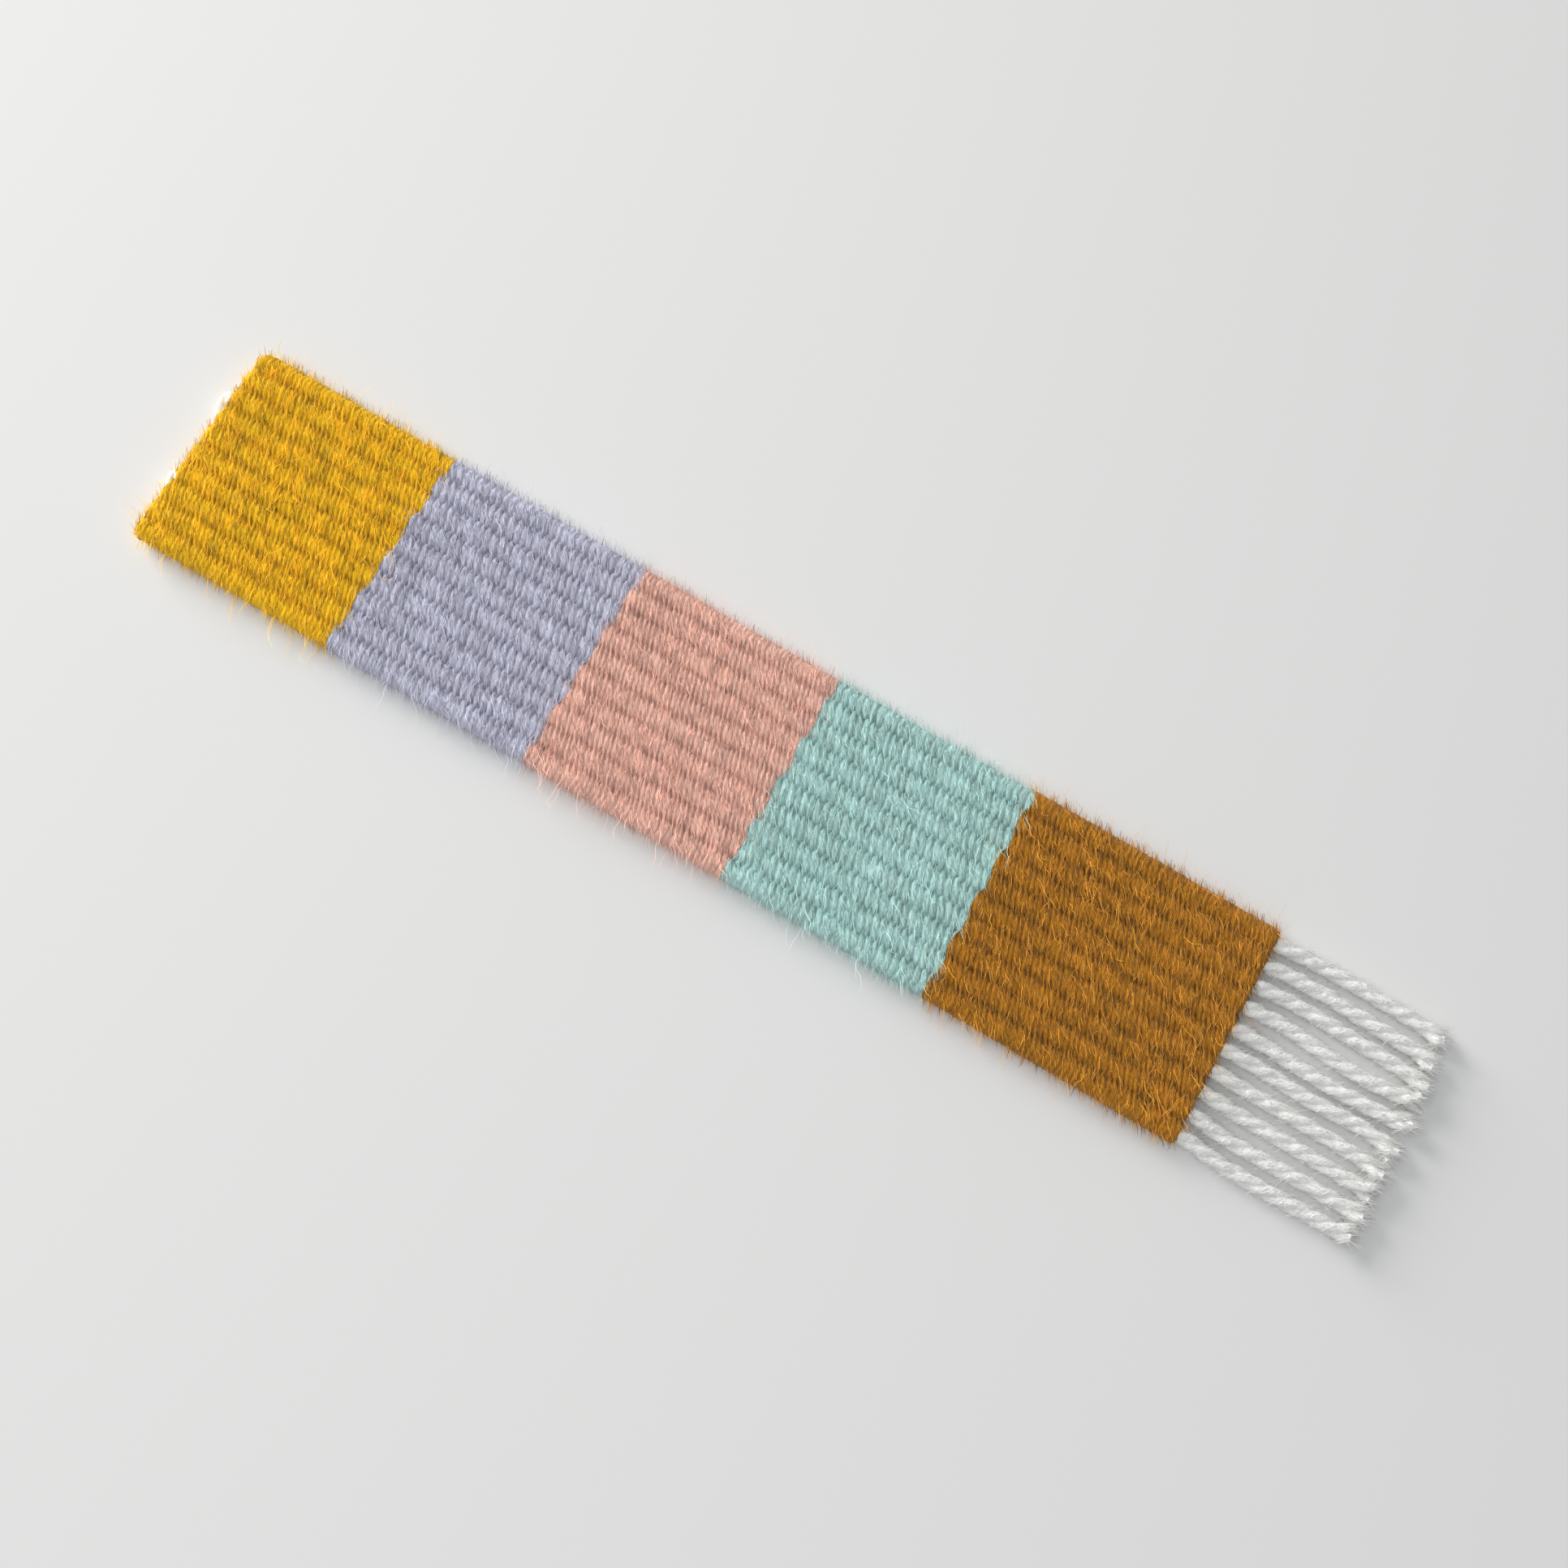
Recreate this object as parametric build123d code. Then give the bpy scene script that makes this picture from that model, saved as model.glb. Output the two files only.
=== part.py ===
"""Handwoven bookmark: a strip of weft-faced wool in five colour blocks on ten cotton warp legs, with a fringe.

Millimetres. The origin is on the table, under the middle of the whole strip. +X runs along the strip from its
closed end to the tips of the fringe, +Y across it, and +Z up.

The cloth has two kinds of piece. Five warp cords lie lengthwise. Each is a hairpin: it turns back at the closed
end, so it makes two of the ten legs, and its two cut ends are two cords of the fringe. Five weft yarns, one for
each colour block, are packed so tightly over and under the legs that they hide them. A block is modelled as the
closed outer shape of its packed yarn, a rib over each leg, with a channel for each cord that it is woven round.
"""

import os
from math import radians, tan

from build123d import *

# Warp: ten legs side by side.
LEGS = 10
LEG_PITCH = 3.0
CORD_DIAMETER = 2.0

# Weft: how thick it lies over a cord, how deep the furrow between two ribs is, how far the ribs of the underside
# are pressed flat on the table, and the play between a cord and the yarn round it.
WEFT_COVER = 0.5
FURROW_DEPTH = 0.45
LAND_PRESS = 0.05
CORD_CLEARANCE = 0.05

# Colour blocks from the closed end to the fringe: node, length along the strip, and how far its turns stand out
# past the plain selvedge on the -Y and on the +Y side.
BLOCKS = [
    ("weft_yellow", 29.4, 0.0, 0.0),
    ("weft_lavender", 28.8, 0.0, 0.0),
    ("weft_pink", 28.6, 0.0, 0.0),
    ("weft_mint", 28.5, 0.0, 0.0),
    ("weft_ochre", 35.2, 0.1, 0.3),
]

# Rounding of the strip's two ends: of the corners seen from above, and of the end's upper and lower edge.
CLOSED_END_CORNER = 1.5
CLOSED_END_EDGE = 1.2
FRINGE_END_CORNER = 0.8
FRINGE_END_EDGE = 0.8

# How far the turn of each warp cord stands out of the closed end, from +Y to -Y. None where the weft covers it.
TURN_SHOWS = [None, 1.2, None, 0.6, None]

# A cord leaves the cloth level for this far, and then sinks to the table.
LEVEL_EXIT = 0.8

# The free end of each leg, from +Y to -Y: points at (distance past the cloth, sideways from the leg's line).
FRINGE = [
    [(4.8, 0.45), (9.4, 0.55), (13.9, 0.5), (18.6, 0.4), (23.5, 0.2)],
    [(5.0, 0.5), (9.8, 0.4), (14.2, 0.25), (18.8, 0.15), (23.7, -0.05)],
    [(4.6, 0.55), (9.2, 0.5), (13.8, 0.35), (18.9, 0.3), (24.1, -0.1)],
    [(4.6, 0.5), (9.4, 0.15), (13.9, -0.3), (18.7, -0.3), (23.8, 0.3)],
    [(5.1, -0.05), (9.7, -0.25), (14.3, -0.35), (18.6, -0.1), (24.3, 0.1)],
    [(5.4, 0.2), (11.4, -0.12), (15.8, 0.02), (19.9, 0.3), (24.1, -0.3)],
    [(4.9, -0.1), (9.5, -0.05), (14.6, -0.06), (19.2, -0.1), (23.8, -0.45)],
    [(5.3, -0.25), (10.1, -0.15), (14.7, -0.2), (19.0, -0.3), (23.7, -0.25)],
    [(4.7, -0.6), (9.3, -0.55), (13.8, -0.4), (18.4, -0.3), (23.8, -0.35)],
    [(5.0, -0.52), (9.9, -0.6), (14.4, -0.55), (18.9, -0.4), (23.5, -0.35)],
]

# Share of a run that an arc may take at each of its ends.
ARC_SHARE = 0.45

# How far the shapes that trim a block stand clear of its crowns and selvedges.
PLAY = 0.1

cord_radius = CORD_DIAMETER / 2
channel_radius = cord_radius + CORD_CLEARANCE
rib_reach = cord_radius + WEFT_COVER
cord_height = rib_reach - LAND_PRESS
crown_height = cord_height + rib_reach
belly_height = cord_height - rib_reach

cloth_length = sum(length for _, length, _, _ in BLOCKS)
selvedge_reach = (LEGS - 1) * LEG_PITCH / 2 + rib_reach
widest_minus = selvedge_reach + max(minus for _, _, minus, _ in BLOCKS)
widest_plus = selvedge_reach + max(plus for _, _, _, plus in BLOCKS)

# The strip's overall box is centred on the origin: from the turn that stands out furthest to the longest tip, and
# from the widest block's one selvedge to its other.
longest_turn = max(shown for shown in TURN_SHOWS if shown is not None)
longest_tip = max(points[-1][0] for points in FRINGE)
overall_length = longest_turn + cloth_length + longest_tip
closed_end = -overall_length / 2 + longest_turn
fringe_end = closed_end + cloth_length
middle_y = (widest_minus - widest_plus) / 2


def leg_y(leg):
    """The line of a leg in the cloth. Leg 0 is the one nearest +Y."""
    return middle_y + ((LEGS - 1) / 2 - leg) * LEG_PITCH


def rib_section(reach_minus, reach_plus):
    """A block's section across the strip: a crowned rib over and under each leg, and round selvedges."""
    first, last = leg_y(LEGS - 1), leg_y(0)
    half_rib = LEG_PITCH / 2
    edges = []
    for level, side in ((crown_height, -1), (belly_height, 1)):
        furrow = level + side * FURROW_DEPTH
        edges.append(TangentArc((first, level), (first + half_rib, furrow), tangent=(1, 0)))
        edges += [
            ThreePointArc((leg_y(k) - half_rib, furrow), (leg_y(k), level), (leg_y(k) + half_rib, furrow))
            for k in range(1, LEGS - 1)
        ]
        edges.append(TangentArc((last, level), (last - half_rib, furrow), tangent=(-1, 0)))
    edges.append(EllipticalCenterArc((last, cord_height), reach_plus, rib_reach, -90, arc_size=180))
    edges.append(EllipticalCenterArc((first, cord_height), reach_minus, rib_reach, 90, arc_size=180))
    return Plane.YZ * make_face(Wire(edges))


def rounded_at_ends(low, high, start_radius, end_radius):
    """A rectangle between two corners, with the two corners at its start and the two at its end rounded."""
    shape = Pos((low[0] + high[0]) / 2, (low[1] + high[1]) / 2) * Rectangle(high[0] - low[0], high[1] - low[1])
    for x, radius in ((low[0], start_radius), (high[0], end_radius)):
        if radius:
            shape = fillet(shape.vertices().filter_by_position(Axis.X, x - PLAY, x + PLAY), radius)
    return shape


def weft_block(start, length, out_minus, out_plus, first_block, last_block):
    """One colour block, rounded where it is the strip's end, and flat where its ribs lie on the table."""
    end = start + length
    low_y = middle_y - selvedge_reach - out_minus - PLAY
    high_y = middle_y + selvedge_reach + out_plus + PLAY
    corners = (CLOSED_END_CORNER if first_block else 0, FRINGE_END_CORNER if last_block else 0)
    edges = (CLOSED_END_EDGE if first_block else 0, FRINGE_END_EDGE if last_block else 0)
    # Where two blocks meet the ribs end flat, inside the trimming shape; at the strip's ends it trims them.
    room_start, room_end = start - (0 if first_block else PLAY), end + (0 if last_block else PLAY)
    ribs_start, ribs_end = start - (PLAY if first_block else 0), end + (PLAY if last_block else 0)
    from_above = rounded_at_ends((room_start, low_y), (room_end, high_y), *corners)
    from_the_side = rounded_at_ends((room_start, 0), (room_end, crown_height + PLAY), *edges)
    section = rib_section(rib_reach + out_minus, rib_reach + out_plus)
    ribs = Pos(ribs_start, 0, 0) * extrude(section, ribs_end - ribs_start)
    ribs &= extrude(Plane.XZ * from_the_side, high_y - low_y, both=True)
    return ribs & extrude(from_above, 2 * crown_height, both=True)


def leg_points(leg):
    """The corners of one leg's route, from its turn to its cut tip."""
    y = leg_y(leg)
    shown = TURN_SHOWS[leg // 2]
    turn_x = closed_end + (WEFT_COVER if shown is None else -shown) + cord_radius
    points = [(turn_x, y, cord_height), (fringe_end + LEVEL_EXIT, y, cord_height)]
    return points + [(fringe_end + x, y + sideways, cord_radius) for x, sideways in FRINGE[leg]]


def route(cord):
    """A warp cord's centre line: straight runs joined by tangent arcs, from tip to tip by way of its turn."""
    points = leg_points(2 * cord)[::-1] + leg_points(2 * cord + 1)
    corners = [Vector(p) for p in points]
    radii = []
    for before, corner, after in zip(corners, corners[1:], corners[2:]):
        turn = (corner - before).get_angle(after - corner)
        shorter = min((corner - before).length, (after - corner).length)
        radii.append(ARC_SHARE * shorter / tan(radians(turn / 2)))
    return FilletPolyline(*corners, radius=radii), radii


def tube(path, radius):
    """A round tube along a path."""
    return sweep(Plane(origin=path @ 0, z_dir=path % 0) * Circle(radius), path=path)


def build():
    """Every node's solid, by name."""
    routes = [route(cord) for cord in range(LEGS // 2)]
    channels = [tube(path, channel_radius) for path, _ in routes]
    solids = {}
    start = closed_end
    for name, length, out_minus, out_plus in BLOCKS:
        first_block, last_block = name == BLOCKS[0][0], name == BLOCKS[-1][0]
        block = weft_block(start, length, out_minus, out_plus, first_block, last_block)
        for channel in channels:
            block -= channel
        solids[name] = block
        start += length
    for cord, (path, radii) in enumerate(routes):
        solid = tube(path, cord_radius)
        section_volume = Circle(cord_radius).area * path.length
        print(f"warp_{cord + 1}: {path.length:.1f} mm long, radii {[round(r, 1) for r in radii]}")
        print(f"    volume {solid.volume:.2f}, section times length {section_volume:.2f}")
        solids[f"warp_{cord + 1}"] = solid
    return solids


os.makedirs("parts", exist_ok=True)
for node, shape in build().items():
    shape.label = node
    export_step(shape, f"parts/{node}.step")
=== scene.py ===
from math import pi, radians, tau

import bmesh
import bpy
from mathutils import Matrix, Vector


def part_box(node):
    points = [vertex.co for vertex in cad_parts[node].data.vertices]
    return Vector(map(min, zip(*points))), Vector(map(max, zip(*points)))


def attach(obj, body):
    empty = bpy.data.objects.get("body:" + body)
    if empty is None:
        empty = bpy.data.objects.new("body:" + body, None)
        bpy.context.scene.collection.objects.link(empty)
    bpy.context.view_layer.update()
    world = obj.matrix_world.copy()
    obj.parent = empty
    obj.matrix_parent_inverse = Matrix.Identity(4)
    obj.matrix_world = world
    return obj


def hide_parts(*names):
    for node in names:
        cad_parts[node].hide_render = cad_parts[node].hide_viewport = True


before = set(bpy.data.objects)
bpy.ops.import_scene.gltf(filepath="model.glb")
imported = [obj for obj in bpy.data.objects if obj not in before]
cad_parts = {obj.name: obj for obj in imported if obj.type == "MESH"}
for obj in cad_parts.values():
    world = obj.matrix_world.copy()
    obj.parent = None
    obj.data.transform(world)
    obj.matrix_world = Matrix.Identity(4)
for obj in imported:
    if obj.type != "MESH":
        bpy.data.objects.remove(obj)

# %% [markdown]
# A handwoven bookmark. Five wool wefts, each a colour of its own, are packed so tightly over and under
# ten cotton warp legs that the cotton shows only as a fringe at one end. This lesson makes the cords
# first, because the cloth is woven round them, then the five blocks of cloth, then the loose fibres that
# make wool look soft, and last the floor, the lights and the camera. All sizes are in metres. The places
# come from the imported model: where each block starts and ends, how high its ribs stand and where its
# edges are.

for leftover in ("Cube", "Light", "Camera"):
    if leftover in bpy.data.objects:
        bpy.data.objects.remove(bpy.data.objects[leftover])
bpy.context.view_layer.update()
MM = 0.001
BLOCKS = ["yellow", "lavender", "pink", "mint", "ochre"]
block_box = {name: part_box(f"weft_{name}") for name in BLOCKS}
cloth_start = block_box["yellow"][0][0]
cloth_end = block_box["ochre"][1][0]
crown_height = block_box["pink"][1][2]
selvedge_low = block_box["pink"][0][1]
selvedge_high = block_box["pink"][1][1]
middle_y = (selvedge_low + selvedge_high) / 2
print("cloth from", round(cloth_start, 4), "to", round(cloth_end, 4), "crown", round(crown_height, 5))

# %% [markdown]
# The cloth's own rule: ten legs 3 mm apart, a 2 mm cord in each, and half a millimetre of wool over it.
# One pick of weft passes over every second leg and under the others, and the next pick does the opposite,
# so each rib shows only every second pick.

# %% The cloth's own numbers
LEGS = 10
LEG_PITCH = 3.0 * MM
CORD_RADIUS = 1.0 * MM
RIB_REACH = 1.5 * MM
cord_height = crown_height - RIB_REACH
first_leg_y = middle_y + (LEGS - 1) / 2 * LEG_PITCH
print("cords lie at a height of", round(cord_height, 5))

# %% [markdown]
# Geometry Nodes do most of the making here, so two small helpers keep the lesson readable. The first
# starts a tree with named inputs. The second, Field, lets a formula be written with ordinary signs: every
# sign adds one Math node to the tree, and the formula is then worked out at every point of the piece.

# %% A helper that starts a tree
FLOAT, INT, MATERIAL = "NodeSocketFloat", "NodeSocketInt", "NodeSocketMaterial"


def start_tree(name, inputs):
    """A Geometry Nodes tree with these inputs, given as (label, kind), and its input and output nodes."""
    tree = bpy.data.node_groups.new(name, "GeometryNodeTree")
    tree.is_modifier = True
    tree.interface.new_socket(name="Geometry", in_out="INPUT", socket_type="NodeSocketGeometry")
    for label, kind in inputs:
        tree.interface.new_socket(name=label, in_out="INPUT", socket_type=kind)
    tree.interface.new_socket(name="Geometry", in_out="OUTPUT", socket_type="NodeSocketGeometry")
    return tree, tree.nodes.new("NodeGroupInput"), tree.nodes.new("NodeGroupOutput")


def add(tree, kind, settings=None, **inputs):
    """A node with its settings and inputs, an input being a socket, a Field or a plain value."""
    node = tree.nodes.new(kind)
    for key, value in (settings or {}).items():
        setattr(node, key, value)
    for key, value in inputs.items():
        plug(tree, node.inputs[key.replace("_", " ")], value)
    return node


def plug(tree, socket, value):
    """Join a socket or a Field to an input, or set a plain value on it."""
    if isinstance(value, Field):
        value = value.socket
    if isinstance(value, bpy.types.NodeSocket):
        tree.links.new(value, socket)
    else:
        socket.default_value = value


# %% A number at every point, written with ordinary signs
class Field:
    """One value socket in a tree. The usual signs join it to others through Math nodes."""

    def __init__(self, tree, socket):
        self.tree = tree
        self.socket = socket

    def math(self, operation, *others):
        node = self.tree.nodes.new("ShaderNodeMath")
        node.operation = operation
        for socket, value in zip(node.inputs, (self, *others)):
            plug(self.tree, socket, value)
        return Field(self.tree, node.outputs[0])

    def __add__(self, other):
        return self.math("ADD", other)

    def __sub__(self, other):
        return self.math("SUBTRACT", other)

    def __rsub__(self, other):
        return self.math("MULTIPLY", -1.0) + other

    def __mul__(self, other):
        return self.math("MULTIPLY", other)

    def __truediv__(self, other):
        return self.math("DIVIDE", other)

    def __pow__(self, other):
        return self.math("POWER", other)

    __radd__ = __add__
    __rmul__ = __mul__

    def at_least(self, other):
        return self.math("MAXIMUM", other)

    def at_most(self, other):
        return self.math("MINIMUM", other)

    def zero_to_one(self):
        return self.at_least(0.0).at_most(1.0)

    def nearest(self):
        return self.math("ROUND")

    def size(self):
        return self.math("ABSOLUTE")

    def root(self):
        return self.at_least(0.0).math("SQRT")


def vector(tree, x, y, z):
    """Three numbers joined into a vector."""
    return add(tree, "ShaderNodeCombineXYZ", X=x, Y=y, Z=z).outputs[0]


def parts_of(tree, socket):
    """A vector's three numbers."""
    node = add(tree, "ShaderNodeSeparateXYZ", Vector=socket)
    return [Field(tree, output) for output in node.outputs]


def vmath(tree, operation, *values):
    """A Vector Math node's result."""
    node = tree.nodes.new("ShaderNodeVectorMath")
    node.operation = operation
    for socket, value in zip(node.inputs, values):
        plug(tree, socket, value)
    return node.outputs[0]


def scaled(tree, direction, amount):
    """A vector times a number."""
    node = add(tree, "ShaderNodeVectorMath", {"operation": "SCALE"}, Vector=direction, Scale=amount)
    return node.outputs[0]


# %% A helper that runs a tree and keeps the plain mesh
def grow(name, tree, values, base=None):
    """Run a tree on a base mesh, keep the result as a plain mesh at the origin, and remove the modifier."""
    mesh = base or bpy.data.meshes.new(name)
    thing = bpy.data.objects.new(name, mesh)
    bpy.context.scene.collection.objects.link(thing)
    modifier = thing.modifiers.new("grow", "NODES")
    modifier.node_group = tree
    for item in tree.interface.items_tree:
        if item.in_out == "INPUT" and item.name in values:
            modifier[item.identifier] = values[item.name]
    thing.update_tag()
    bpy.context.view_layer.update()
    evaluated = thing.evaluated_get(bpy.context.evaluated_depsgraph_get())
    plain = bpy.data.meshes.new_from_object(evaluated)
    thing.modifiers.clear()
    thing.data = plain
    plain.name = name
    triangles = sum(len(face.vertices) - 2 for face in plain.polygons)
    print(name, "has", triangles, "triangles")
    return thing


# %% [markdown]
# Wool looks matt and a little cloudy: every pick took the dye slightly differently, and fine fibres run
# along the yarn. The look is needed by five wools, so it is one shader group with its own inputs, placed
# in each material with that wool's colour. It reads three attributes that the cloth's tree stores: where
# a point lies on its grain, the grain's own tone, and how deep it lies between its neighbours. The deeper
# it lies, the more its colour turns to a darker one: a painted shade in the furrows between the grains.

# %% The wool effect, shared by all five wools
def shader_group(name, inputs, outputs):
    """An empty shader group with its named sockets."""
    tree = bpy.data.node_groups.new(name, "ShaderNodeTree")
    for label, kind in inputs:
        tree.interface.new_socket(name=label, in_out="INPUT", socket_type=kind)
    for label, kind in outputs:
        tree.interface.new_socket(name=label, in_out="OUTPUT", socket_type=kind)
    return tree, tree.nodes.new("NodeGroupInput"), tree.nodes.new("NodeGroupOutput")


def attribute(tree, name):
    return add(tree, "ShaderNodeAttribute", {"attribute_name": name})


COLOR = "NodeSocketColor"
wool_look, given, result = shader_group(
    "yarn look",
    [("Color", COLOR), ("Shade", COLOR), ("Streaks", FLOAT), ("Clouding", FLOAT)],
    [("Color", COLOR), ("Height", FLOAT), ("Roughness", FLOAT)],
)
on_grain = attribute(wool_look, "grain").outputs["Vector"]
tone = Field(wool_look, attribute(wool_look, "tone").outputs["Fac"])
depth = Field(wool_look, attribute(wool_look, "depth").outputs["Fac"])
streak = add(wool_look, "ShaderNodeTexNoise", Vector=on_grain, Scale=1.0, Detail=3.0, Roughness=0.6)
streak = Field(wool_look, streak.outputs["Fac"])
place = add(wool_look, "ShaderNodeTexCoord").outputs["Object"]
cloud = add(wool_look, "ShaderNodeTexNoise", Vector=place, Scale=420.0, Detail=2.0, Roughness=0.5)
cloud = Field(wool_look, cloud.outputs["Fac"])
streaks = Field(wool_look, given.outputs["Streaks"])
clouding = Field(wool_look, given.outputs["Clouding"])
light = 1.0 + (streak - 0.5) * streaks + (tone - 0.5) * clouding + (cloud - 0.5) * clouding
# Painted shade: the deeper a point lies between its neighbours, the more its colour turns to Shade.
shaded = add(wool_look, "ShaderNodeMix", {"data_type": "RGBA"})
wool_look.links.new(given.outputs["Color"], shaded.inputs[6])
wool_look.links.new(given.outputs["Shade"], shaded.inputs[7])
plug(wool_look, shaded.inputs[0], depth.zero_to_one())
toned = scaled(wool_look, shaded.outputs[2], light)
wool_look.links.new(toned, result.inputs["Color"])
plug(wool_look, result.inputs["Height"], streak)
plug(wool_look, result.inputs["Roughness"], 0.82 + streak * 0.16)
print("the yarn look has", len(wool_look.nodes), "nodes")


# %% A yarn material
def linear(red, green, blue):
    """A colour given as on a dye card, 0 to 255, as the renderer counts light."""
    return [((c / 255 + 0.055) / 1.055) ** 2.4 if c > 10 else c / 3294 for c in (red, green, blue)] + [1.0]


def yarn_material(name, color, painted_shade, streaks, clouding, bump, sheen):
    """A matt yarn: the shared look with this yarn's colours, and a soft sheen from its loose fibres."""
    material = bpy.data.materials.new(name)
    material.use_nodes = True
    tree = material.node_tree
    skin = tree.nodes["Principled BSDF"]
    look = tree.nodes.new("ShaderNodeGroup")
    look.node_tree = wool_look
    look.inputs["Color"].default_value = linear(*color)
    # The second colour is painted shade, mixed in where a point lies deep between its neighbours.
    look.inputs["Shade"].default_value = linear(*painted_shade)
    look.inputs["Streaks"].default_value = streaks
    look.inputs["Clouding"].default_value = clouding
    relief = add(tree, "ShaderNodeBump", Strength=bump, Distance=0.2 * MM, Height=look.outputs["Height"])
    tree.links.new(look.outputs["Color"], skin.inputs["Base Color"])
    tree.links.new(look.outputs["Roughness"], skin.inputs["Roughness"])
    tree.links.new(relief.outputs["Normal"], skin.inputs["Normal"])
    skin.inputs["Specular IOR Level"].default_value = 0.15
    skin.inputs["Sheen Weight"].default_value = sheen
    skin.inputs["Sheen Roughness"].default_value = 0.6
    return material


# Each wool: its dye colour, a darker painted shade for its furrows, and how much its fibres' tone varies.
DYE_AND_PAINTED_SHADE = {
    "yellow": ((236, 184, 11), (190, 137, 6), 1.2),
    "lavender": ((194, 194, 211), (153, 152, 172), 0.8),
    "pink": ((235, 186, 168), (196, 145, 129), 0.8),
    "mint": ((180, 216, 211), (138, 177, 173), 0.8),
    "ochre": ((179, 118, 20), (84, 48, 5), 1.6),
}
wool = {}
fluff = {}
for name, (color, painted_shade, mottle) in DYE_AND_PAINTED_SHADE.items():
    wool[name] = yarn_material(f"wool_{name}", color, painted_shade, 0.9, 0.25, 0.8, 0.15)
    lighter = [c + (255 - c) * 0.11 for c in color]
    # A fibre takes the depth of the spot it grows from, so fibres in furrows get a darker painted shade.
    deeper_painted_shade = [c * 0.72 for c in painted_shade]
    fluff[name] = yarn_material(f"wool_fibre_{name}", lighter, deeper_painted_shade, 0.0, mottle, 0.0, 0.15)
# The cord's second colour is a painted shade, but the cords store no depth, so it is never mixed in.
cotton = yarn_material("cotton_cord", (250, 250, 247), (190, 189, 182), 0.25, 0.08, 0.8, 0.1)
cotton_nap = yarn_material("cotton_nap", (247, 247, 244), (247, 247, 244), 0.0, 0.06, 0.0, 0.2)
print("materials:", len(bpy.data.materials))

# %% [markdown]
# The warp. Each cord is a hairpin that runs the length of the strip twice, so its two cut ends are two
# cords of the fringe. Its route is one smooth NURBS spline through a few chosen points, lying level in
# the cloth and then sinking to the table past its end. The spline needs its order and its end setting
# after its points are in.

# %% The routes of the warp cords
CLOSED_END_TURN = [0.5, -1.2, 0.5, -0.6, 0.5]
EXIT = 0.8
FRINGE = [
    [(4.8, 0.45), (9.4, 0.55), (13.9, 0.5), (18.6, 0.4), (23.5, 0.2)],
    [(5.0, 0.5), (9.8, 0.4), (14.2, 0.25), (18.8, 0.15), (23.7, -0.05)],
    [(4.6, 0.55), (9.2, 0.5), (13.8, 0.35), (18.9, 0.3), (24.1, -0.1)],
    [(4.6, 0.5), (9.4, 0.15), (13.9, -0.3), (18.7, -0.3), (23.8, 0.3)],
    [(5.1, -0.05), (9.7, -0.25), (14.3, -0.35), (18.6, -0.1), (24.3, 0.1)],
    [(5.4, 0.2), (11.4, -0.12), (15.8, 0.02), (19.9, 0.3), (24.1, -0.3)],
    [(4.9, -0.1), (9.5, -0.05), (14.6, -0.06), (19.2, -0.1), (23.8, -0.45)],
    [(5.3, -0.25), (10.1, -0.15), (14.7, -0.2), (19.0, -0.3), (23.7, -0.25)],
    [(4.7, -0.6), (9.3, -0.55), (13.8, -0.4), (18.4, -0.3), (23.8, -0.35)],
    [(5.0, -0.52), (9.9, -0.6), (14.4, -0.55), (18.9, -0.4), (23.5, -0.35)],
]


def leg_points(leg):
    """One leg's chosen points, from its turn to its cut tip."""
    y = first_leg_y - leg * LEG_PITCH
    turn_x = cloth_start + CLOSED_END_TURN[leg // 2] * MM + CORD_RADIUS
    exit_x = cloth_end + EXIT * MM
    inside_x = exit_x - (FRINGE[leg][0][0] - EXIT) * MM
    points = [(turn_x, y, cord_height), (turn_x + LEG_PITCH, y, cord_height)]
    points += [(inside_x, y, cord_height), (exit_x, y, cord_height)]
    return points + [(cloth_end + x * MM, y + side * MM, CORD_RADIUS) for x, side in FRINGE[leg]]


def smooth_route(cord):
    """The cord's smooth line as a mesh of points and edges, read from its NURBS spline."""
    points = leg_points(2 * cord)[::-1] + leg_points(2 * cord + 1)
    curve = bpy.data.curves.new("route", "CURVE")
    curve.dimensions = "3D"
    spline = curve.splines.new("NURBS")
    spline.points.add(len(points) - 1)
    for point, place in zip(spline.points, points):
        point.co = (*place, 1.0)
    spline.order_u = 3
    spline.use_endpoint_u = True
    spline.resolution_u = 16
    line = bpy.data.objects.new("route", curve)
    bpy.context.scene.collection.objects.link(line)
    bpy.context.view_layer.update()
    evaluated = line.evaluated_get(bpy.context.evaluated_depsgraph_get())
    mesh = bpy.data.meshes.new_from_object(evaluated)
    bpy.data.objects.remove(line)
    bpy.data.curves.remove(curve)
    places = [vertex.co for vertex in mesh.vertices]
    length = sum((places[e.vertices[0]] - places[e.vertices[1]]).length for e in mesh.edges)
    print("route", cord + 1, "is", round(length, 4), "m long")
    return mesh


# %% [markdown]
# The cord itself is laid from three strands. From above, a strand climbs towards the left of the
# direction it runs in, one turn in 9 mm. The tree copies the route three times and moves each copy off
# the line, round and round it, then sweeps a small circle along each. Near a cut tip the strands come
# apart a little and lean to one side.

# %% A tree that lays a cord from three strands
lay_tree, given, result = start_tree(
    "laid cord",
    [("Lay", FLOAT), ("Strand Offset", FLOAT), ("Strand Radius", FLOAT), ("Step", FLOAT), ("Flare", FLOAT),
     ("Flare Length", FLOAT), ("Start Lean", FLOAT), ("End Lean", FLOAT), ("Seed", FLOAT),
     ("Material", MATERIAL)],
)
t = lay_tree
line = add(t, "GeometryNodeMeshToCurve", Mesh=given.outputs["Geometry"])
line = add(t, "GeometryNodeResampleCurve", {"mode": "LENGTH"}, Curve=line.outputs[0],
           Length=given.outputs["Step"])
tangent = add(t, "GeometryNodeInputTangent").outputs[0]
side = vmath(t, "NORMALIZE", vmath(t, "CROSS_PRODUCT", (0.0, 0.0, 1.0), tangent))
up = vmath(t, "CROSS_PRODUCT", tangent, side)
along = add(t, "GeometryNodeSplineParameter")
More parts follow.
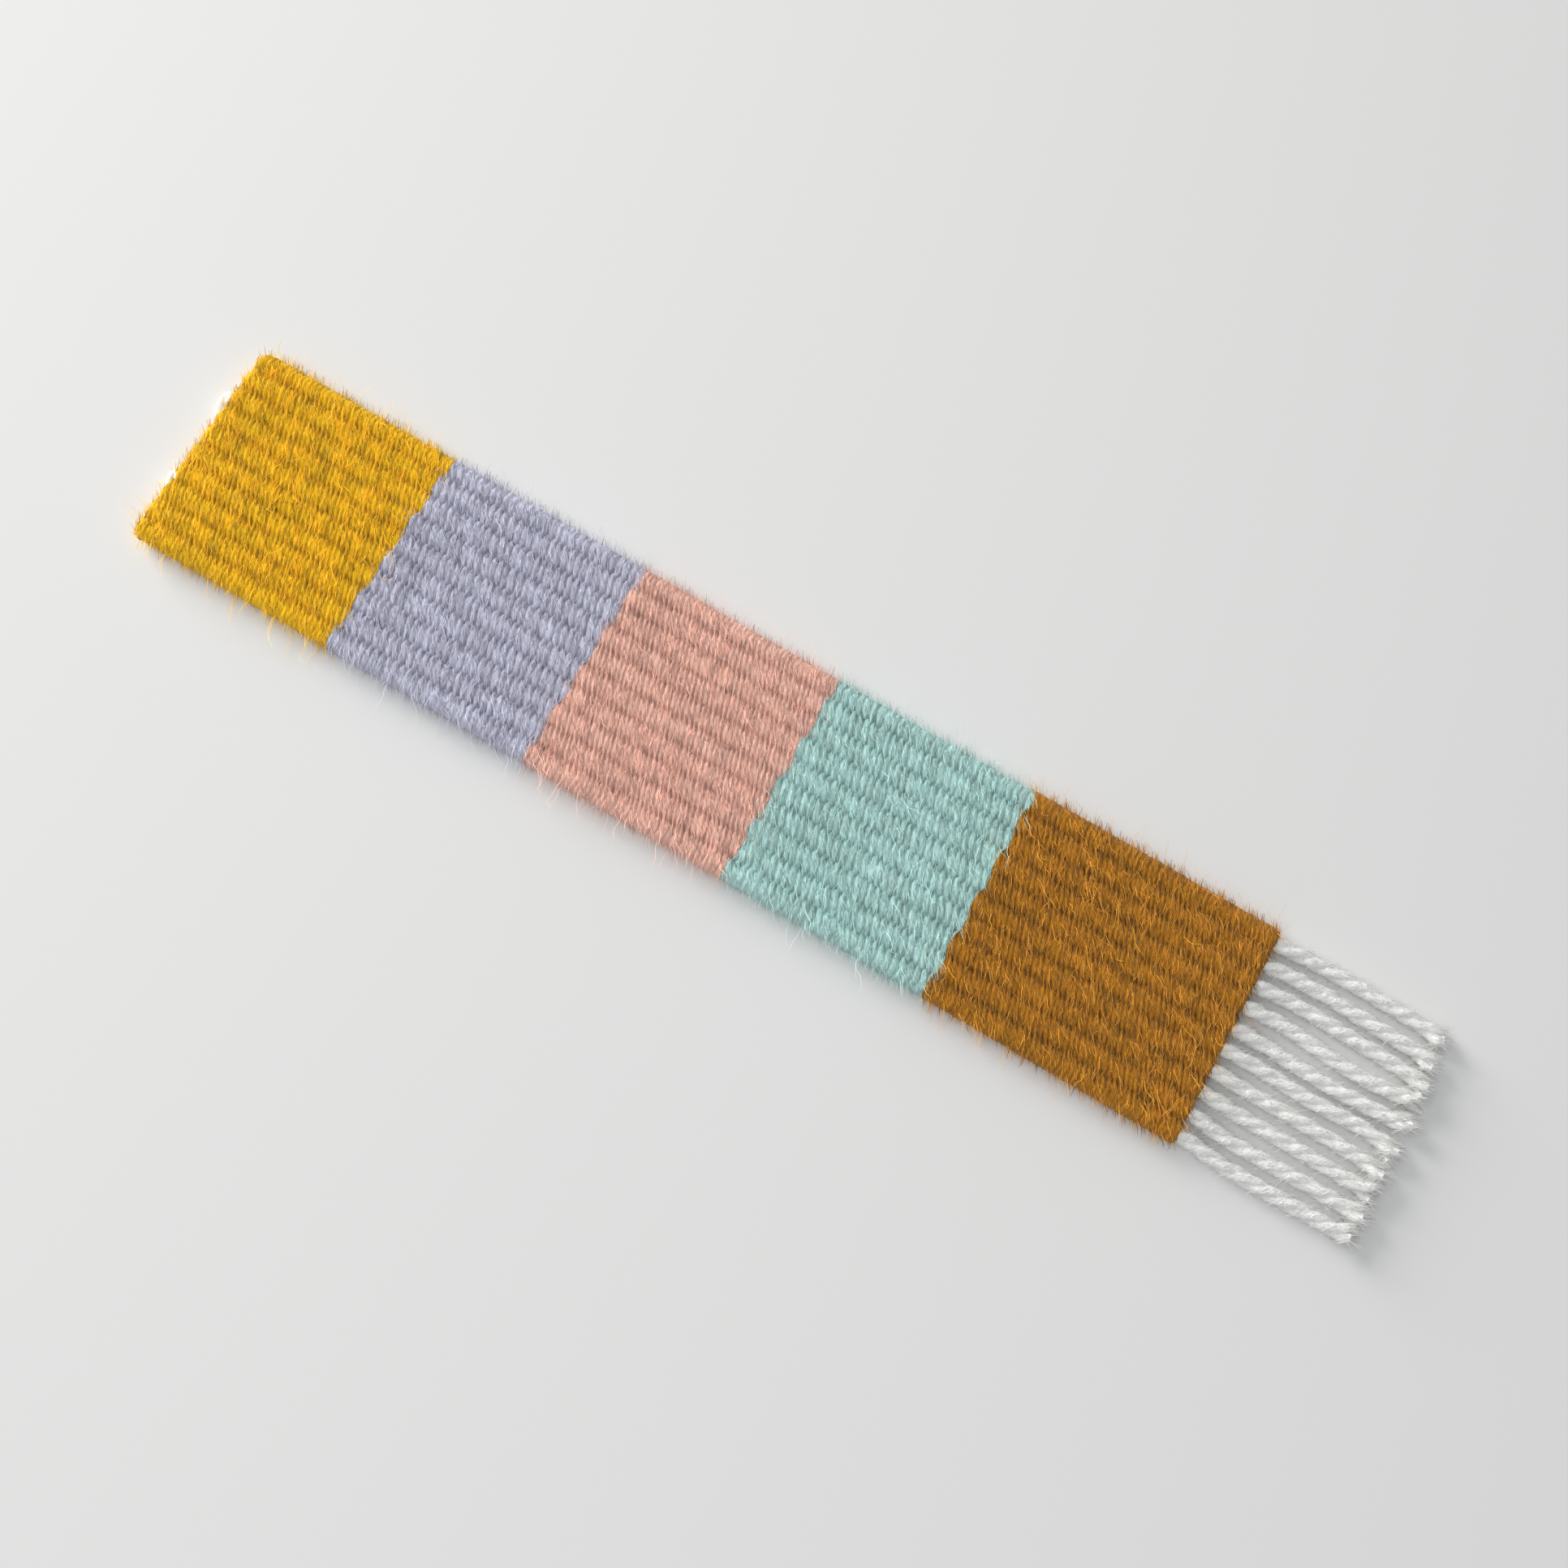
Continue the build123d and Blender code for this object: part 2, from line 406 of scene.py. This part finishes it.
run = Field(t, along.outputs["Length"])
whole = Field(t, add(t, "GeometryNodeSplineLength").outputs["Length"])
flare_length = Field(t, given.outputs["Flare Length"])
to_start = (1.0 - run / flare_length).zero_to_one()
to_end = (1.0 - (whole - run) / flare_length).zero_to_one()
open_up = (to_start + to_end) ** 1.6
start_lean = to_start ** 1.5 * Field(t, given.outputs["Start Lean"])
lean = start_lean + to_end ** 1.5 * Field(t, given.outputs["End Lean"])
wander = add(t, "ShaderNodeTexNoise", {"noise_dimensions": "1D"}, Scale=220.0,
             W=run + Field(t, given.outputs["Seed"]))
wander = Field(t, wander.outputs["Fac"]) - 0.5
offset = Field(t, given.outputs["Strand Offset"]) + open_up * Field(t, given.outputs["Flare"])
ring = add(t, "GeometryNodeCurvePrimitiveCircle", Resolution=8, Radius=1.0)
turn = Field(t, add(t, "GeometryNodeInputIndex").outputs[0]) / 8.0
ring = add(t, "GeometryNodeStoreNamedAttribute", {"data_type": "FLOAT", "domain": "POINT"},
           Geometry=ring.outputs["Curve"], Name="around", Value=turn)
strands = t.nodes.new("GeometryNodeJoinGeometry")
for number in range(3):
    angle = run / Field(t, given.outputs["Lay"]) * tau + number * tau / 3 + wander * 1.5
    upward = scaled(t, up, angle.math("COSINE") * offset)
    outward = vmath(t, "ADD", upward, scaled(t, side, angle.math("SINE") * offset))
    outward = vmath(t, "ADD", outward, vector(t, 0.0, lean, 0.0))
    moved = add(t, "GeometryNodeSetPosition", Geometry=line.outputs[0], Offset=outward)
    fibre = vector(t, run * 900.0, number * 3.0, Field(t, given.outputs["Seed"]) * 7.0)
    noted = add(t, "GeometryNodeStoreNamedAttribute", {"data_type": "FLOAT_VECTOR", "domain": "POINT"},
                Geometry=moved.outputs[0], Name="run", Value=fibre)
    lump = add(t, "ShaderNodeTexNoise", {"noise_dimensions": "1D"}, Scale=700.0, W=run + number * 0.31)
    lump = (Field(t, lump.outputs["Fac"]) - 0.5) * 0.3
    thick = Field(t, given.outputs["Strand Radius"]) * (1.0 + wander * 0.1 + lump) * (1.0 - open_up * 0.25)
    swept = add(t, "GeometryNodeCurveToMesh", Curve=noted.outputs[0], Profile_Curve=ring.outputs[0],
                Scale=thick, Fill_Caps=True)
    t.links.new(swept.outputs[0], strands.inputs[0])
# Fibres of a strand run round it the other way, so the pattern's two directions are mixed.
marks = add(t, "GeometryNodeInputNamedAttribute", {"data_type": "FLOAT_VECTOR"}, Name="run")
mark_run, mark_strand, mark_seed = parts_of(t, marks.outputs["Attribute"])
around = add(t, "GeometryNodeInputNamedAttribute", {"data_type": "FLOAT"}, Name="around")
mark_turn = Field(t, around.outputs["Attribute"])
swirl = (mark_turn + mark_run * 0.35) * tau
pattern = vector(t, swirl.math("COSINE") * 2.6 + mark_strand * 5.0, swirl.math("SINE") * 2.6 + mark_seed,
                 mark_run * 0.35)
plain = add(t, "GeometryNodeStoreNamedAttribute", {"data_type": "FLOAT_VECTOR", "domain": "POINT"},
            Geometry=strands.outputs[0], Name="grain", Value=pattern)
sunk = vmath(t, "MAXIMUM", add(t, "GeometryNodeInputPosition").outputs[0], (-1.0, -1.0, 0.0))
plain = add(t, "GeometryNodeSetPosition", Geometry=plain.outputs[0], Position=sunk)
plain = add(t, "GeometryNodeSetShadeSmooth", Geometry=plain.outputs[0])
plain = add(t, "GeometryNodeSetMaterial", Geometry=plain.outputs[0], Material=given.outputs["Material"])
t.links.new(plain.outputs[0], result.inputs[0])
print("the cord tree has", len(t.nodes), "nodes")

# %% Lay the five warp cords
TIP_LEAN = [-0.5, -0.5, -0.5, 0.5, 0.5, -0.5, -0.5, 0.0, 0.0, 0.4]
warps = []
for number in range(LEGS // 2):
    warp = grow(f"warp_cord_{number + 1}", lay_tree, {
        "Lay": 9.0 * MM, "Strand Offset": 0.38 * MM, "Strand Radius": 0.67 * MM, "Step": 0.45 * MM,
        "Flare": 0.6 * MM, "Flare Length": 2.2 * MM, "Start Lean": TIP_LEAN[2 * number] * MM,
        "End Lean": TIP_LEAN[2 * number + 1] * MM, "Seed": 0.37 * number, "Material": cotton,
    }, smooth_route(number))
    warps.append(warp)

# %% [markdown]
# The cloth. What shows of a pick is a grain: a short fat oval lying across one leg, dipping into the
# furrows at both sides, where it goes under the next leg. Grains of neighbouring ribs stand half a step
# apart and mesh like teeth in the furrow. So the surface follows a rule, and one tree can make all five
# blocks: it starts from a flat grid, rolls it round the strip's section, and lifts each point to the
# higher of the two grains that meet there. Round the two side edges a grain runs on to the underside,
# half a step further along.

# %% A tree that weaves a block: the grid and its place on the section
weave_tree, given, result = start_tree(
    "weft-faced cloth",
    [("Rows", INT), ("Start", FLOAT), ("Length", FLOAT), ("Grain Pitch", FLOAT), ("Grain Relief", FLOAT),
     ("Grain Lean", FLOAT), ("Leg Pitch", FLOAT), ("First Leg", FLOAT), ("Cord Height", FLOAT),
     ("Rib Reach", FLOAT), ("Extra Minus", FLOAT), ("Extra Plus", FLOAT), ("Zigzag Start", FLOAT),
     ("Zigzag End", FLOAT), ("Round Start", FLOAT), ("Round End", FLOAT), ("Start Radius", FLOAT),
     ("End Radius", FLOAT), ("Start Corner", FLOAT), ("End Corner", FLOAT), ("Scallop", FLOAT),
     ("Furrow Depth", FLOAT), ("Pit Floor", FLOAT), ("Seed", FLOAT), ("Material", MATERIAL)],
)
t = weave_tree
value = {socket.name: Field(t, socket) for socket in given.outputs if socket.name}
FACE_COLUMNS = 12 * (LEGS - 1)
EDGE_COLUMNS = 12
COLUMNS = 2 * (FACE_COLUMNS + EDGE_COLUMNS)
rows = value["Rows"]
grid = add(t, "GeometryNodeMeshGrid", Size_X=1.0, Size_Y=1.0, Vertices_X=rows + 3, Vertices_Y=COLUMNS + 1)
grid_x, grid_y, _ = parts_of(t, add(t, "GeometryNodeInputPosition").outputs[0])
row = ((grid_x + 0.5) * (rows + 2)).nearest()
column = ((grid_y + 0.5) * COLUMNS).nearest()
share = ((row - 1) / rows).zero_to_one()
closing = (1.0 - row).zero_to_one() + (row - rows - 1).zero_to_one()
over = (column / FACE_COLUMNS).zero_to_one()
minus_edge = ((column - FACE_COLUMNS) / EDGE_COLUMNS).zero_to_one()
under = ((column - FACE_COLUMNS - EDGE_COLUMNS) / FACE_COLUMNS).zero_to_one()
plus_edge = ((column - 2 * FACE_COLUMNS - EDGE_COLUMNS) / EDGE_COLUMNS).zero_to_one()
wrap = minus_edge + plus_edge
below = wrap.at_most(2.0 - wrap)
rib = (over - under) * (LEGS - 1)
print("each row has", COLUMNS, "points")

# %% Where the ends run: zigzag against the next colour, rounded and scalloped where they are free
pitch = value["Grain Pitch"]
run = share * value["Length"]
left = value["Length"] - run
near_rib = rib.nearest()
off_rib = rib - near_rib
swing = (((rib + wrap) * pi).math("COSINE") * 1.8).at_least(-1.0).at_most(1.0)
meshing = (1.0 - run / (pitch * 1.5)).zero_to_one() * value["Zigzag Start"]
meshing = meshing + (1.0 - left / (pitch * 1.5)).zero_to_one() * value["Zigzag End"]
flat_y = value["First Leg"] - rib * value["Leg Pitch"]
from_middle = (rib - (LEGS - 1) / 2).size() * value["Leg Pitch"]
edge_angle = (wrap + 0.5) * pi
edge_out = edge_angle.math("COSINE").size() * value["Rib Reach"]
half_width = (LEGS - 1) / 2 * value["Leg Pitch"] + value["Rib Reach"]


def corner(radius):
    """How far a rounded corner draws the end in at this distance from the strip's middle line."""
    past = (from_middle + edge_out - half_width + radius).at_least(0.0)
    return radius - (radius * radius - past * past).root()


scallop = (off_rib * 2) ** 2 * value["Scallop"]
draw_in = (corner(value["Start Corner"]) + scallop * 0.5) * value["Round Start"]
draw_in = draw_in * (1.0 - run / (3 * MM)).zero_to_one()
pull_back = (corner(value["End Corner"]) + scallop) * value["Round End"]
pull_back = pull_back * (1.0 - left / (3 * MM)).zero_to_one()
x = value["Start"] + run + swing * meshing * (1.0 - closing) + draw_in - pull_back


def end_shape(distance, radius, is_free):
    """How thick the cloth is near a free end, as a share of its full thickness."""
    inside = 1.0 - (distance / radius).zero_to_one()
    return (1.0 - inside * inside).root().at_least(1.0 - is_free)


thickness = end_shape(run, value["Start Radius"], value["Round Start"])
thickness = thickness * end_shape(left, value["End Radius"], value["Round End"]) * (1.0 - closing)

# %% How high each grain stands
place = add(t, "ShaderNodeCombineXYZ", X=x * 300.0, Y=flat_y * 90.0 + below * 2.0, Z=value["Seed"] * 13.0)
unevenness = add(t, "ShaderNodeTexNoise", Vector=place.outputs[0], Scale=1.0, Detail=1.0)
unevenness = (Field(t, unevenness.outputs["Fac"]) - 0.5) * 1.1
unevenness = unevenness * (run / (pitch * 3)).zero_to_one() * (left / (pitch * 3)).zero_to_one()


def grain(rib_number, off):
    """One rib's grain at this point: its height over the cords' middle and its random value."""
    phase = (x - value["Start"] - value["Grain Lean"] * off * value["Leg Pitch"]) / pitch + 0.25
    phase = phase + (rib_number + wrap) * 0.5 + unevenness
    count = phase.nearest()
    numbered = count - (wrap.nearest() - 1.0).at_least(0.0)
    key = vector(t, rib_number, numbered, below.nearest() * 17.0 + value["Seed"] * 31.0)
    chance = add(t, "ShaderNodeTexWhiteNoise", {"noise_dimensions": "3D"}, Vector=key)
    chance = Field(t, chance.outputs["Value"])
    far = off.size()
    half = (0.5 + (chance - 0.5) * 0.08 - (far * 2) ** 2.2 * 0.27).at_least(0.14)
    across = (phase - count) / half
    square = across * across
    dome = (1.0 - square).root() - 1.0 - ((square - 1.0).at_least(0.0) * 0.8).at_most(1.6)
    arch = value["Rib Reach"] - (far * 2) ** 2.0 * value["Furrow Depth"]
    arch = arch - (far * 2 - 1.0).at_least(0.0) * (2.0 * MM)
    return arch + (dome - chance * 0.25) * value["Grain Relief"], chance


toward = off_rib.math("SIGN")
height_a, chance_a = grain(near_rib, off_rib)
height_b, chance_b = grain(near_rib + toward, off_rib - toward)
on_b = height_b.math("GREATER_THAN", height_a)
height = height_a.at_least(height_b).at_least(value["Pit Floor"])
with_twist = x * -0.5 + flat_y * 0.87 + below * (3.0 * MM)
over_twist = x * 0.87 + flat_y * 0.5
rough = add(t, "ShaderNodeTexNoise", Vector=vector(t, with_twist * 900.0, over_twist * 2600.0, value["Seed"]),
            Scale=1.0, Detail=2.0)
height = height - (Field(t, rough.outputs["Fac"]) - 0.3).at_least(0.0) * (0.35 * MM)
chance = chance_a + (chance_b - chance_a) * on_b

# %% Roll the grid up, close it, and store what the wool's colour needs
up_y = edge_angle.math("COSINE")
up_z = edge_angle.math("SINE")
extra = (-1.0 * up_y).at_least(0.0) * value["Extra Minus"] + up_y.at_least(0.0) * value["Extra Plus"]
y = flat_y + up_y * height * (1.0 - closing) + up_y * extra * (1.0 - closing)
y_closed = flat_y + up_y * value["Rib Reach"] * closing
z = value["Cord Height"] + up_z * height * thickness
shaped = add(t, "GeometryNodeSetPosition", Geometry=grid.outputs["Mesh"],
             Position=vector(t, x, y + (y_closed - flat_y), z.at_least(0.0)))
# How deep a point lies below the rib's crown, zero to one; the wool's colour turns to painted shade there.
depth = ((value["Rib Reach"] - height) / (0.75 * MM)).zero_to_one() ** 1.5
noted = add(t, "GeometryNodeStoreNamedAttribute", {"data_type": "FLOAT", "domain": "POINT"},
            Geometry=grid.outputs["Mesh"], Name="depth", Value=depth)
noted = add(t, "GeometryNodeStoreNamedAttribute", {"data_type": "FLOAT", "domain": "POINT"},
            Geometry=noted.outputs[0], Name="tone", Value=chance)
fibres = vector(t, with_twist * 600.0, over_twist * 4200.0, chance * 3.0)
noted = add(t, "GeometryNodeStoreNamedAttribute", {"data_type": "FLOAT_VECTOR", "domain": "POINT"},
            Geometry=noted.outputs[0], Name="grain", Value=fibres)
t.links.new(noted.outputs[0], shaped.inputs["Geometry"])
closed = add(t, "GeometryNodeMergeByDistance", Geometry=shaped.outputs[0], Distance=0.0002 * MM)
# The grid was rolled up with its back outward, so its faces are turned round.
closed = add(t, "GeometryNodeFlipFaces", Mesh=closed.outputs[0])
closed = add(t, "GeometryNodeSetShadeSmooth", Geometry=closed.outputs[0])
closed = add(t, "GeometryNodeSetMaterial", Geometry=closed.outputs[0], Material=given.outputs["Material"])
t.links.new(closed.outputs[0], result.inputs[0])
print("the weaving tree has", len(t.nodes), "nodes")

# %% Weave the five blocks
GRAINS = {"yellow": 43, "lavender": 29, "pink": 42, "mint": 29, "ochre": 51}
ROWS_PER_GRAIN = {"yellow": 6, "lavender": 8, "pink": 6, "mint": 8, "ochre": 6}
ZIGZAG = 0.21 * MM
cloth = {}
for number, name in enumerate(BLOCKS):
    low, high = block_box[name]
    grains = GRAINS[name]
    pitch_here = (high[0] - low[0]) / grains
    cloth[name] = grow(f"cloth_{name}", weave_tree, {
        "Rows": grains * ROWS_PER_GRAIN[name], "Start": low[0], "Length": high[0] - low[0],
        "Grain Pitch": pitch_here, "Grain Relief": 0.07 * MM + pitch_here * 0.1, "Grain Lean": 0.3,
        "Leg Pitch": LEG_PITCH, "First Leg": first_leg_y, "Cord Height": cord_height, "Rib Reach": RIB_REACH,
        "Extra Minus": selvedge_low - low[1], "Extra Plus": high[1] - selvedge_high,
        "Zigzag Start": 0.0 if number == 0 else ZIGZAG, "Zigzag End": 0.0 if number == 4 else ZIGZAG,
        "Round Start": 1.0 if number == 0 else 0.0, "Round End": 1.0 if number == 4 else 0.0,
        "Start Radius": 1.2 * MM, "End Radius": 0.8 * MM, "Start Corner": 1.5 * MM, "End Corner": 0.8 * MM,
        "Scallop": 0.35 * MM, "Furrow Depth": 0.25 * MM, "Pit Floor": 0.95 * MM, "Seed": 1.0 + number,
        "Material": wool[name],
    })

# %% [markdown]
# Fluff. Wool is hairy: short fibres stand off every grain, mostly lying along the yarn, and a few long
# curly ones stray out. They soften the grains and give the edges their halo. The tree scatters points
# over the finished cloth, stands a short line on each, bends the lines with noise, and gives each a thin
# three-sided tube.

# %% A tree that grows loose fibres on a surface
fluff_tree, given, result = start_tree(
    "loose fibres",
    [("Short Density", FLOAT), ("Short Length", FLOAT), ("Stray Density", FLOAT), ("Stray Length", FLOAT),
     ("Short Thickness", FLOAT), ("Stray Thickness", FLOAT), ("Bend", FLOAT), ("Curl", FLOAT),
     ("Lift", FLOAT), ("Run X", FLOAT), ("Run Y", FLOAT), ("Scatter", FLOAT), ("Seed", INT),
     ("Material", MATERIAL)],
)
t = fluff_tree
numbers = [socket for socket in given.outputs if socket.name and socket.type in ("VALUE", "INT")]
value = {socket.name: Field(t, socket) for socket in numbers}


def random_between(low, high, seed):
    """A different number for every point."""
    node = add(t, "FunctionNodeRandomValue", {"data_type": "FLOAT"})
    for socket, number in ((node.inputs[2], low), (node.inputs[3], high), (node.inputs["Seed"], seed)):
        plug(t, socket, number)
    return Field(t, node.outputs[1])


def hairs(density, length, thickness, lift, segments, bend, wave, tones, seed):
    """Fibres of one kind, each a bent line that stands on the surface and thins to its tip.

    Lift is how steeply they rise, bend how far noise moves their tips, wave how fine that noise is, and tones
    the range of their brightness.
    """
    facing = parts_of(t, add(t, "GeometryNodeInputNormal").outputs[0])[2].math("GREATER_THAN", -0.5)
    spots = add(t, "GeometryNodeDistributePointsOnFaces", Mesh=given.outputs["Geometry"], Density=density,
                Seed=seed, Selection=facing)
    normal = spots.outputs["Normal"]
    flip = random_between(-1.0, 1.0, seed + 1).math("SIGN")
    astray_x = random_between(-1.0, 1.0, seed + 2) * value["Scatter"]
    astray_y = random_between(-1.0, 1.0, seed + 5) * value["Scatter"]
    rise = lift * random_between(0.0, 1.6, seed + 3)
    lying = vector(t, value["Run X"] * flip + astray_x, value["Run Y"] * flip + astray_y, 0.0)
    pointing = vmath(t, "ADD", lying, scaled(t, normal, rise))
    turned = add(t, "FunctionNodeAlignRotationToVector", {"axis": "Z"}, Vector=pointing)
    stem = add(t, "GeometryNodeCurvePrimitiveLine", End=(0.0, 0.0, 1.0))
    stem = add(t, "GeometryNodeResampleCurve", Curve=stem.outputs[0], Count=segments + 1)
    tall = length * (random_between(0.35, 1.25, seed + 4))
    dyed = add(t, "GeometryNodeStoreNamedAttribute", {"data_type": "FLOAT", "domain": "POINT"},
               Geometry=spots.outputs["Points"], Name="tone", Value=random_between(*tones, seed + 6))
    stood = add(t, "GeometryNodeInstanceOnPoints", Points=dyed.outputs[0], Instance=stem.outputs[0],
                Rotation=turned.outputs[0], Scale=vector(t, tall, tall, tall))
    loose = add(t, "GeometryNodeRealizeInstances", Geometry=stood.outputs[0])
    along = Field(t, add(t, "GeometryNodeSplineParameter").outputs["Factor"])
    here = add(t, "GeometryNodeInputPosition").outputs[0]
    drift = add(t, "ShaderNodeTexNoise", Vector=here, Scale=wave, Detail=1.0).outputs["Color"]
    drift = scaled(t, vmath(t, "SUBTRACT", drift, (0.5, 0.5, 0.5)), along ** 1.3 * bend)
    moved = vmath(t, "MAXIMUM", vmath(t, "ADD", here, drift), (-1.0, -1.0, 0.05 * MM))
    bent = add(t, "GeometryNodeSetPosition", Geometry=loose.outputs[0], Position=moved)
    slim = (1.0 - along * 0.7) * thickness
    ring = add(t, "GeometryNodeCurvePrimitiveCircle", Resolution=3, Radius=1.0)
    return add(t, "GeometryNodeCurveToMesh", Curve=bent.outputs[0], Profile_Curve=ring.outputs[0],
               Scale=slim, Fill_Caps=True).outputs[0]


both = t.nodes.new("GeometryNodeJoinGeometry")
short = hairs(value["Short Density"], value["Short Length"], value["Short Thickness"], value["Lift"],
              2, value["Bend"], 900.0, (0.0, 1.2), value["Seed"])
high = value["Lift"] * 2.5
stray = hairs(value["Stray Density"], value["Stray Length"], value["Stray Thickness"], high,
              9, value["Curl"], 420.0, (1.1, 1.8), value["Seed"] + 50)
t.links.new(short, both.inputs[0])
t.links.new(stray, both.inputs[0])
plain = add(t, "GeometryNodeSetMaterial", Geometry=both.outputs[0], Material=given.outputs["Material"])
t.links.new(plain.outputs[0], result.inputs[0])
print("the fibre tree has", len(t.nodes), "nodes")

# %% Grow the fluff on each block
fuzz = {}
for number, name in enumerate(BLOCKS):
    fuzz[name] = grow(f"fibres_{name}", fluff_tree, {
        "Short Density": 6.0e6, "Short Length": 1.15 * MM, "Stray Density": 0.5e6, "Stray Length": 3.0 * MM,
        "Short Thickness": 0.048 * MM, "Stray Thickness": 0.034 * MM, "Bend": 0.5 * MM, "Curl": 4.0 * MM,
        "Lift": 0.2, "Run X": -0.5, "Run Y": 0.87, "Scatter": 0.42, "Seed": 11 * number + 3,
        "Material": fluff[name],
    }, cloth[name].data.copy())

# %% Grow a finer nap on the fringe
tail = bmesh.new()
for warp in warps:
    tail.from_mesh(warp.data)
bmesh.ops.delete(tail, geom=[v for v in tail.verts if v.co.x < cloth_end + 0.2 * MM], context="VERTS")
tail_mesh = bpy.data.meshes.new("fringe_tail")
tail.to_mesh(tail_mesh)
bmesh.ops.delete(tail, geom=[v for v in tail.verts if v.co.x < cloth_end + 22.3 * MM], context="VERTS")
tip_mesh = bpy.data.meshes.new("fringe_tip")
tail.to_mesh(tip_mesh)
tail.free()
fringe_nap = grow("fibres_fringe", fluff_tree, {
    "Short Density": 6.8e6, "Short Length": 0.8 * MM, "Stray Density": 0.05e6, "Stray Length": 2.0 * MM,
    "Short Thickness": 0.05 * MM, "Stray Thickness": 0.03 * MM, "Bend": 0.4 * MM, "Curl": 2.0 * MM,
    "Lift": 0.25, "Run X": 0.9, "Run Y": 0.4, "Scatter": 0.5, "Seed": 90, "Material": cotton_nap,
}, tail_mesh)
tip_brush = grow("fibres_tips", fluff_tree, {
    "Short Density": 26.0e6, "Short Length": 1.3 * MM, "Stray Density": 0.2e6, "Stray Length": 2.0 * MM,
    "Short Thickness": 0.05 * MM, "Stray Thickness": 0.03 * MM, "Bend": 0.5 * MM, "Curl": 1.5 * MM,
    "Lift": 0.3, "Run X": 1.0, "Run Y": 0.2, "Scatter": 0.35, "Seed": 190, "Material": cotton_nap,
}, tip_mesh)

# %% [markdown]
# Every piece is hung under one empty that stands for the whole strip, and the imported part that it
# replaces is hidden: each warp cord hides its warp, and each block's cloth and fibres hide its weft.

# %% Hang each piece under one empty and hide the imported parts
for number, warp in enumerate(warps):
    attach(warp, "root")
    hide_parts(f"warp_{number + 1}")
for nap in (fringe_nap, tip_brush):
    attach(nap, "root")
for name in BLOCKS:
    low, high = block_box[name]
    for piece in (cloth[name], fuzz[name]):
        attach(piece, "root")
    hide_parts(f"weft_{name}")
    high[1] - low[1]
    high[0] - low[0]

# %% [markdown]
# The strip lies on a plain pale table, lit by a big soft light overhead and by a window low on the left,
# which rakes across the ribs and throws a soft shadow past the far edges.

# %% The table
floor_mesh = bpy.data.meshes.new("table_top")
reach = 1.5
corners = [(-reach, -reach, 0), (reach, -reach, 0), (reach, reach, 0), (-reach, reach, 0)]
floor_mesh.from_pydata(corners, [], [(0, 1, 2, 3)])
floor = bpy.data.objects.new("table_top", floor_mesh)
bpy.context.scene.collection.objects.link(floor)
paper = bpy.data.materials.new("pale_table")
paper.use_nodes = True
paper_skin = paper.node_tree.nodes["Principled BSDF"]
paper_skin.inputs["Base Color"].default_value = (0.80, 0.80, 0.79, 1.0)
paper_skin.inputs["Roughness"].default_value = 0.75
paper_skin.inputs["Specular IOR Level"].default_value = 0.2
floor_mesh.materials.append(paper)


# %% The lights
def soft_light(name, place, aim, size, power, color):
    """A square area light at a place, turned to face a point."""
    lamp = bpy.data.lights.new(name, "AREA")
    lamp.size = size
    lamp.energy = power
    lamp.color = color
    thing = bpy.data.objects.new(name, lamp)
    thing.location = place
    thing.rotation_euler = (Vector(aim) - Vector(place)).to_track_quat("-Z", "Y").to_euler()
    bpy.context.scene.collection.objects.link(thing)
    return thing


soft_light("window", (-1.25, 0.34, 0.44), (0.0, 0.0, 0.0), 0.7, 21.0, (1.0, 0.985, 0.96))
soft_light("overhead", (-0.25, -0.25, 0.9), (0.0, 0.0, 0.0), 0.9, 4.4, (0.98, 0.99, 1.0))
world = bpy.data.worlds.new("room")
world.use_nodes = True
world.node_tree.nodes["Background"].inputs["Color"].default_value = (0.95, 0.97, 1.0, 1.0)
# The room seen past the table is brighter than the light it gives, as a pale wall is.
room = world.node_tree
seen = Field(room, room.nodes.new("ShaderNodeLightPath").outputs["Is Camera Ray"])
plug(room, room.nodes["Background"].inputs["Strength"], 0.26 + seen * 0.44)
bpy.context.scene.world = world
bpy.context.scene.view_settings.view_transform = "Standard"

# %% The camera
camera = bpy.data.cameras.new("camera")
camera.sensor_width = 36.0
camera.lens = 38.83
camera.clip_start = 0.01
eye = bpy.data.objects.new("camera", camera)
eye.location = (14.7 * MM, -49.9 * MM, 207.1 * MM)
eye.rotation_euler = (radians(13.576), radians(-3.52), radians(30.123))
bpy.context.scene.collection.objects.link(eye)
bpy.context.scene.camera = eye
